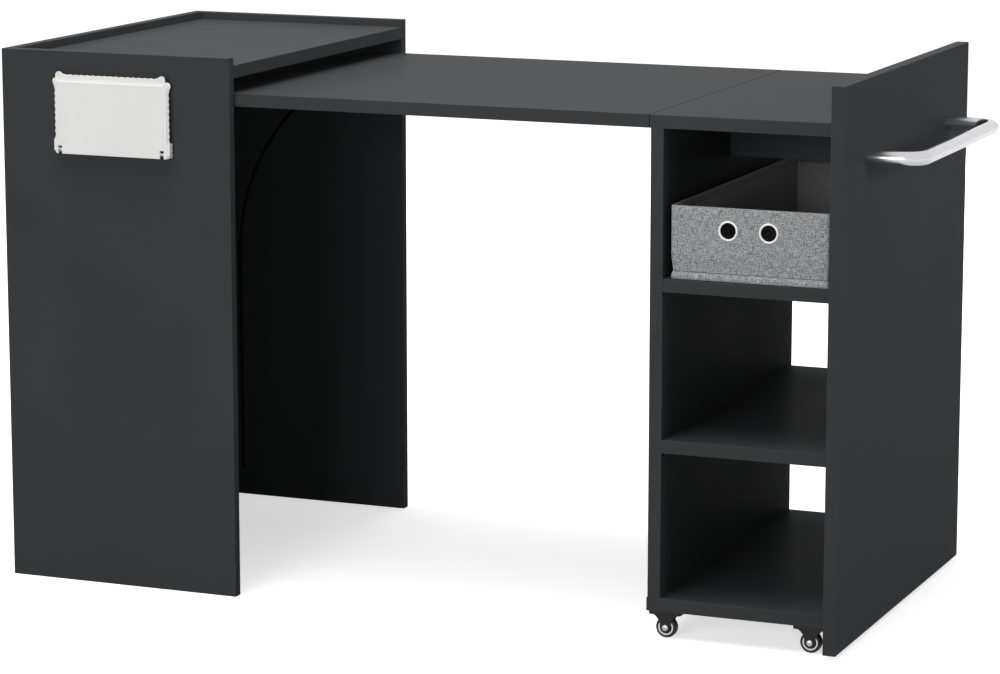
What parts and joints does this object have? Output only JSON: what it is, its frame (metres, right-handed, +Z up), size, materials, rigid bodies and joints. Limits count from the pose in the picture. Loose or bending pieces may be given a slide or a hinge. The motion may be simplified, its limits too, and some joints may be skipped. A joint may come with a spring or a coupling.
{
  "type": "folding manicure table",
  "caption": "Charcoal desk whose wheeled shelf trolley rolls into a cabinet shell while its hinged leaf folds down inside; linen bin, bar handle and fold-down side tray.",
  "frame": {"origin": "foot of the shell's end panel, at its outer face, in the middle of the table's depth, on the floor", "axes": "+X along the desk from the shell to the trolley, -Y to the front, where the side tray and bin are, +Z up"},
  "size_m": [1.3155, 0.614, 0.76],
  "materials": {
    "charcoal_laminate": "matte laminate on board",
    "chrome_tube": "satin chrome",
    "steel": "zinc plated steel",
    "zinc": "die cast zinc",
    "beech": "plain beech",
    "white_plastic": "satin moulded",
    "black_plastic": "satin moulded",
    "tyre_rubber": "smooth",
    "grey_linen": "heather weave",
    "grey_board": "covered board",
    "eyelet_plastic": "white eyelet"
  },
  "bodies": {
    "shell": {"shell_cam_bolts": "steel", "shell_cam_locks": "zinc", "shell_dowels": "beech", "shell_end_panel": "charcoal_laminate", "shell_front_panel": "charcoal_laminate", "shell_rear_panel": "charcoal_laminate", "shell_tray_top": "charcoal_laminate", "side_tray_brackets": "white_plastic", "side_tray_pins": "steel", "side_tray_screws": "steel"},
    "side_tray": {"side_tray": "white_plastic"},
    "leaf": {"desk_leaf": "charcoal_laminate", "guide_pins": "steel", "hinge_leaf_plates": "steel", "hinge_leaf_screws": "steel"},
    "bin": {"bin_body": "grey_linen", "bin_base_board": "grey_board", "bin_eyelets": "eyelet_plastic"},
    "wheel_front_left": {"wheel_hub_front_left": "black_plastic", "wheel_rim_front_left": "white_plastic", "wheel_tyre_front_left": "tyre_rubber"},
    "wheel_front_right": {"wheel_hub_front_right": "black_plastic", "wheel_rim_front_right": "white_plastic", "wheel_tyre_front_right": "tyre_rubber"},
    "wheel_rear_left": {"wheel_hub_rear_left": "black_plastic", "wheel_rim_rear_left": "white_plastic", "wheel_tyre_rear_left": "tyre_rubber"},
    "wheel_rear_right": {"wheel_hub_rear_right": "black_plastic", "wheel_rim_rear_right": "white_plastic", "wheel_tyre_rear_right": "tyre_rubber"},
    "trolley": {"caster_axles": "steel", "caster_fork_front_left": "black_plastic", "caster_fork_front_right": "black_plastic", "caster_fork_rear_left": "black_plastic", "caster_fork_rear_right": "black_plastic", "caster_screws": "steel", "handle": "chrome_tube", "handle_inserts": "steel", "handle_screws": "steel", "hinge_fixed_plates": "steel", "hinge_fixed_screws": "steel", "hinge_pins": "steel", "lower_shelf": "charcoal_laminate", "top_stiffener": "charcoal_laminate", "trolley_bottom": "charcoal_laminate", "trolley_cam_bolts": "steel", "trolley_cam_locks": "zinc", "trolley_dowels": "beech", "trolley_end_panel": "charcoal_laminate", "trolley_side_panel": "charcoal_laminate", "trolley_top": "charcoal_laminate", "upper_shelf": "charcoal_laminate"}
  },
  "joints": [
    {"name": "trolley_slide", "type": "slide", "parent": "shell", "child": "trolley", "axis": [1, 0, 0], "range_m": [-0.857, 0]},
    {"name": "leaf_fold", "type": "hinge", "parent": "trolley", "child": "leaf", "pos_m": [0.9615, 0, 0.6885], "axis": [0, -1, 0], "range_deg": [0, 88.75]},
    {"name": "side_tray_fold", "type": "hinge", "parent": "shell", "child": "side_tray", "pos_m": [0.178, -0.3055, 0.6221], "axis": [1, 0, 0], "range_deg": [0, 90]},
    {"name": "bin_slide", "type": "slide", "parent": "trolley", "child": "bin", "axis": [0, -1, 0], "range_m": [0, 0.4]},
    {"name": "wheel_front_left_spin", "type": "hinge", "parent": "trolley", "child": "wheel_front_left", "pos_m": [0.9885, -0.268, 0.0145], "axis": [0, 1, 0], "continuous": true},
    {"name": "wheel_front_right_spin", "type": "hinge", "parent": "trolley", "child": "wheel_front_right", "pos_m": [1.192, -0.268, 0.0145], "axis": [0, 1, 0], "continuous": true},
    {"name": "wheel_rear_left_spin", "type": "hinge", "parent": "trolley", "child": "wheel_rear_left", "pos_m": [0.9885, 0.268, 0.0145], "axis": [0, 1, 0], "continuous": true},
    {"name": "wheel_rear_right_spin", "type": "hinge", "parent": "trolley", "child": "wheel_rear_right", "pos_m": [1.192, 0.268, 0.0145], "axis": [0, 1, 0], "continuous": true}
  ],
  "couplings": [
    {"joint": "leaf_fold", "follows": "trolley_slide", "rad_per_m": -1.8074}
  ]
}
